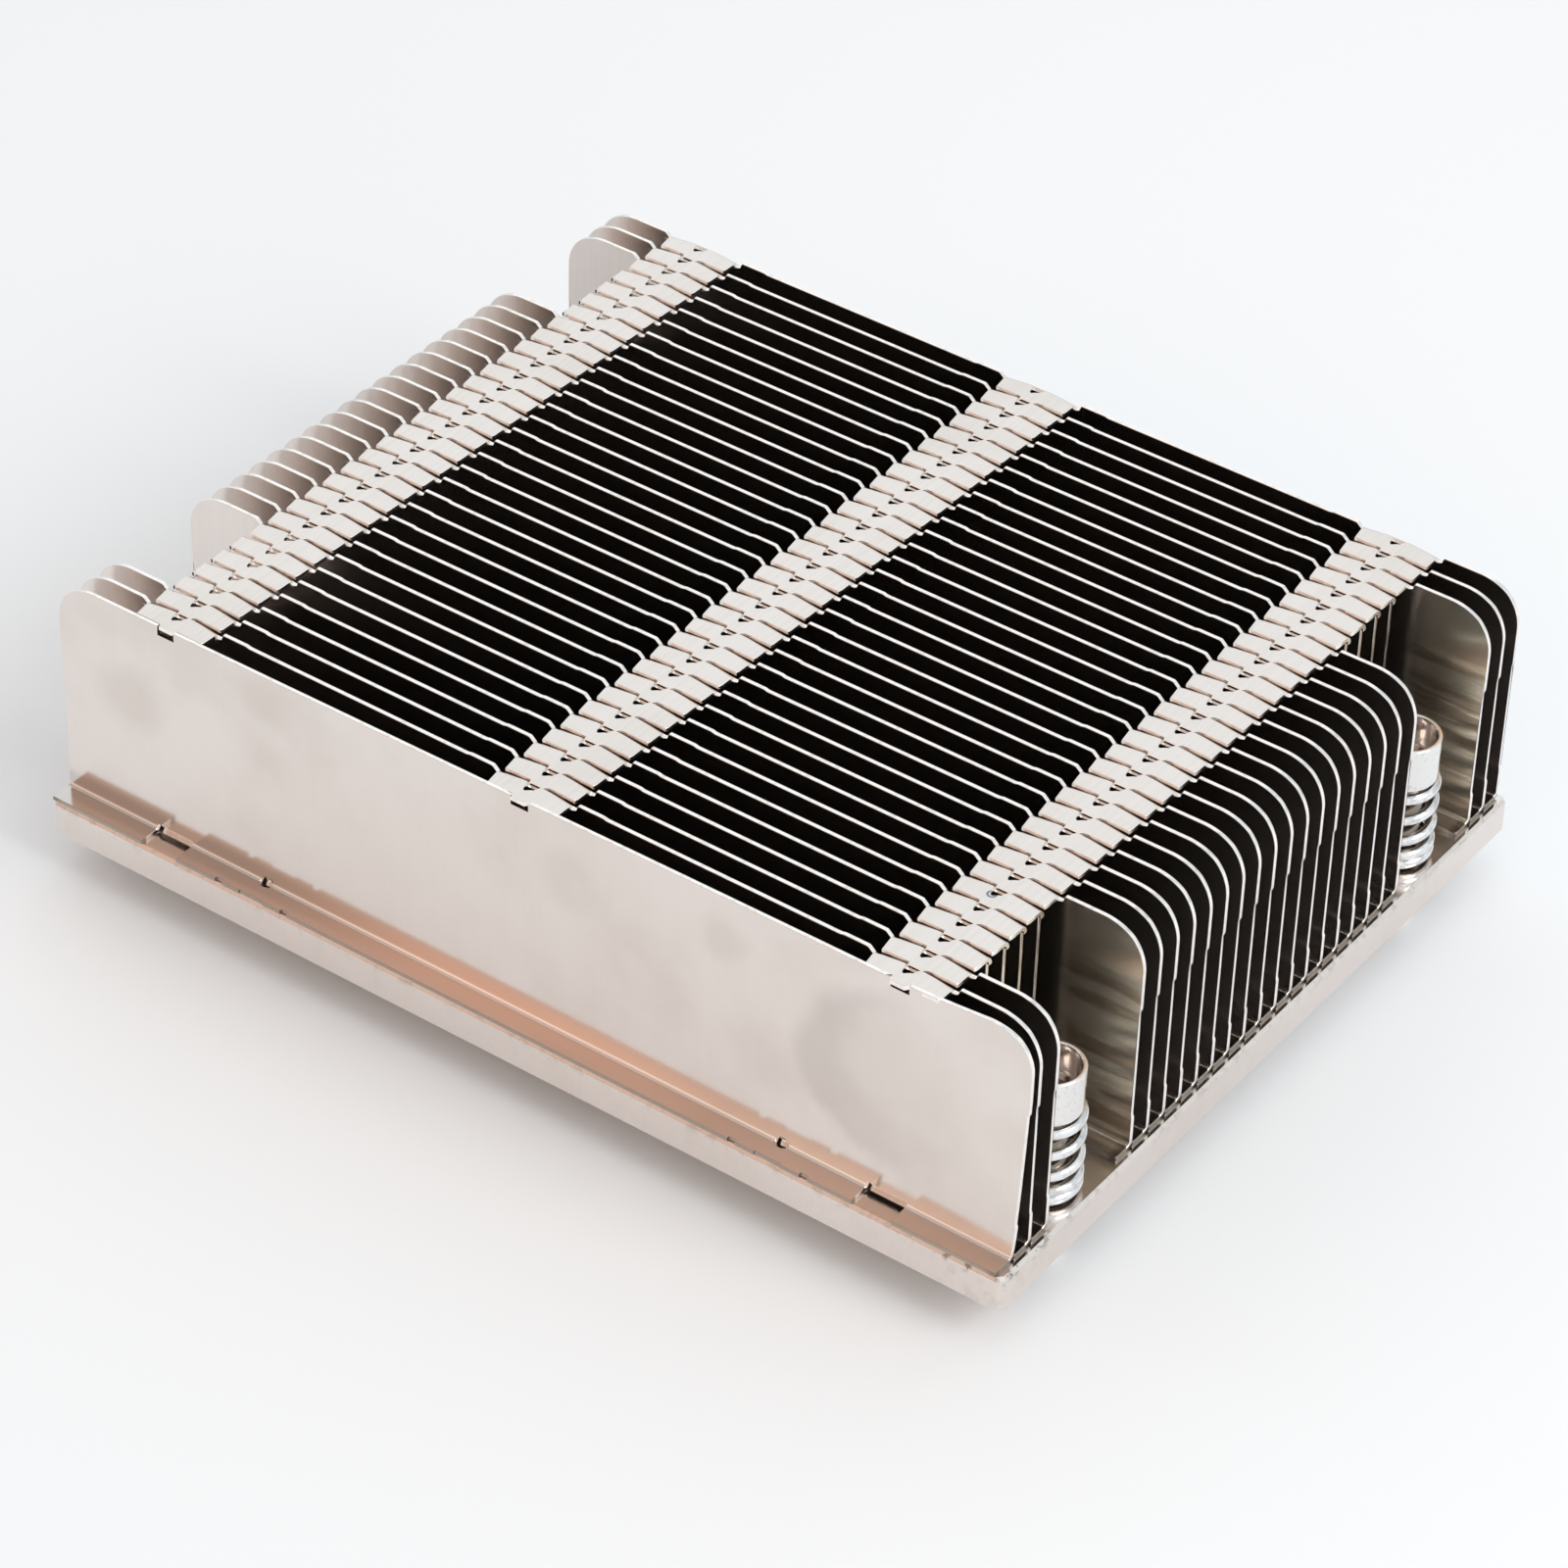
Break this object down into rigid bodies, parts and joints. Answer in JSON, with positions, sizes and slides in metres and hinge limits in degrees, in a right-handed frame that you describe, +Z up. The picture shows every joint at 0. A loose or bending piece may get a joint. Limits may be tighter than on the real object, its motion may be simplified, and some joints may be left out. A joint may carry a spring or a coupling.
{
  "type": "passive server cpu heatsink",
  "caption": "Low passive heatsink of folded, interlocked fins on a plated base plate, with captive spring screws standing in open wells at its corners.",
  "frame": {"origin": "centre of the base plate's underside, which is the face that meets the processor", "axes": "+X along the fins, +Y across them away from the front fin, +Z up"},
  "size_m": [0.103, 0.081, 0.0305],
  "materials": {
    "plated_plate": "satin nickel plate on copper",
    "plated_fins": "satin nickel plate",
    "screws": "bright nickel plate",
    "springs": "bright spring wire",
    "rings": "plain spring steel"
  },
  "bodies": {
    "heatsink": {"base_plate": "plated_plate", "fin_01": "plated_fins", "fin_02": "plated_fins", "fin_03": "plated_fins", "fin_04": "plated_fins", "fin_05": "plated_fins", "fin_06": "plated_fins", "fin_07": "plated_fins", "fin_08": "plated_fins", "fin_09": "plated_fins", "fin_10": "plated_fins", "fin_11": "plated_fins", "fin_12": "plated_fins", "fin_13": "plated_fins", "fin_14": "plated_fins", "fin_15": "plated_fins", "fin_16": "plated_fins", "fin_17": "plated_fins", "fin_18": "plated_fins", "fin_19": "plated_fins", "fin_20": "plated_fins", "fin_21": "plated_fins", "fin_22": "plated_fins", "fin_23": "plated_fins", "fin_24": "plated_fins", "fin_25": "plated_fins", "fin_26": "plated_fins", "fin_27": "plated_fins", "fin_28": "plated_fins", "fin_29": "plated_fins", "fin_30": "plated_fins", "fin_31": "plated_fins", "fin_32": "plated_fins", "spring_front_left": "springs", "spring_front_right": "springs", "spring_rear_left": "springs", "spring_rear_right": "springs"},
    "ring_front_left": {"retaining_ring_front_left": "rings"},
    "screw_front_left": {"screw_front_left": "screws"},
    "ring_front_right": {"retaining_ring_front_right": "rings"},
    "screw_front_right": {"screw_front_right": "screws"},
    "ring_rear_left": {"retaining_ring_rear_left": "rings"},
    "screw_rear_left": {"screw_rear_left": "screws"},
    "ring_rear_right": {"retaining_ring_rear_right": "rings"},
    "screw_rear_right": {"screw_rear_right": "screws"}
  },
  "joints": [
    {"name": "front_left_press", "type": "slide", "parent": "heatsink", "child": "ring_front_left", "axis": [0, 0, 1], "range_m": [-0.0035, 0], "stiffness_N_per_m": 2000, "springref_m": 0.0005, "deforming": ["spring_front_left"]},
    {"name": "front_left_turn", "type": "hinge", "parent": "ring_front_left", "child": "screw_front_left", "pos_m": [-0.0466, -0.0286, 0.01], "axis": [0, 0, 1], "continuous": true},
    {"name": "front_right_press", "type": "slide", "parent": "heatsink", "child": "ring_front_right", "axis": [0, 0, 1], "range_m": [-0.0035, 0], "stiffness_N_per_m": 2000, "springref_m": 0.0005, "deforming": ["spring_front_right"]},
    {"name": "front_right_turn", "type": "hinge", "parent": "ring_front_right", "child": "screw_front_right", "pos_m": [0.0474, -0.0286, 0.01], "axis": [0, 0, 1], "continuous": true},
    {"name": "rear_left_press", "type": "slide", "parent": "heatsink", "child": "ring_rear_left", "axis": [0, 0, 1], "range_m": [-0.0035, 0], "stiffness_N_per_m": 2000, "springref_m": 0.0005, "deforming": ["spring_rear_left"]},
    {"name": "rear_left_turn", "type": "hinge", "parent": "ring_rear_left", "child": "screw_rear_left", "pos_m": [-0.0466, 0.0274, 0.01], "axis": [0, 0, 1], "continuous": true},
    {"name": "rear_right_press", "type": "slide", "parent": "heatsink", "child": "ring_rear_right", "axis": [0, 0, 1], "range_m": [-0.0035, 0], "stiffness_N_per_m": 2000, "springref_m": 0.0005, "deforming": ["spring_rear_right"]},
    {"name": "rear_right_turn", "type": "hinge", "parent": "ring_rear_right", "child": "screw_rear_right", "pos_m": [0.0474, 0.0274, 0.01], "axis": [0, 0, 1], "continuous": true}
  ]
}
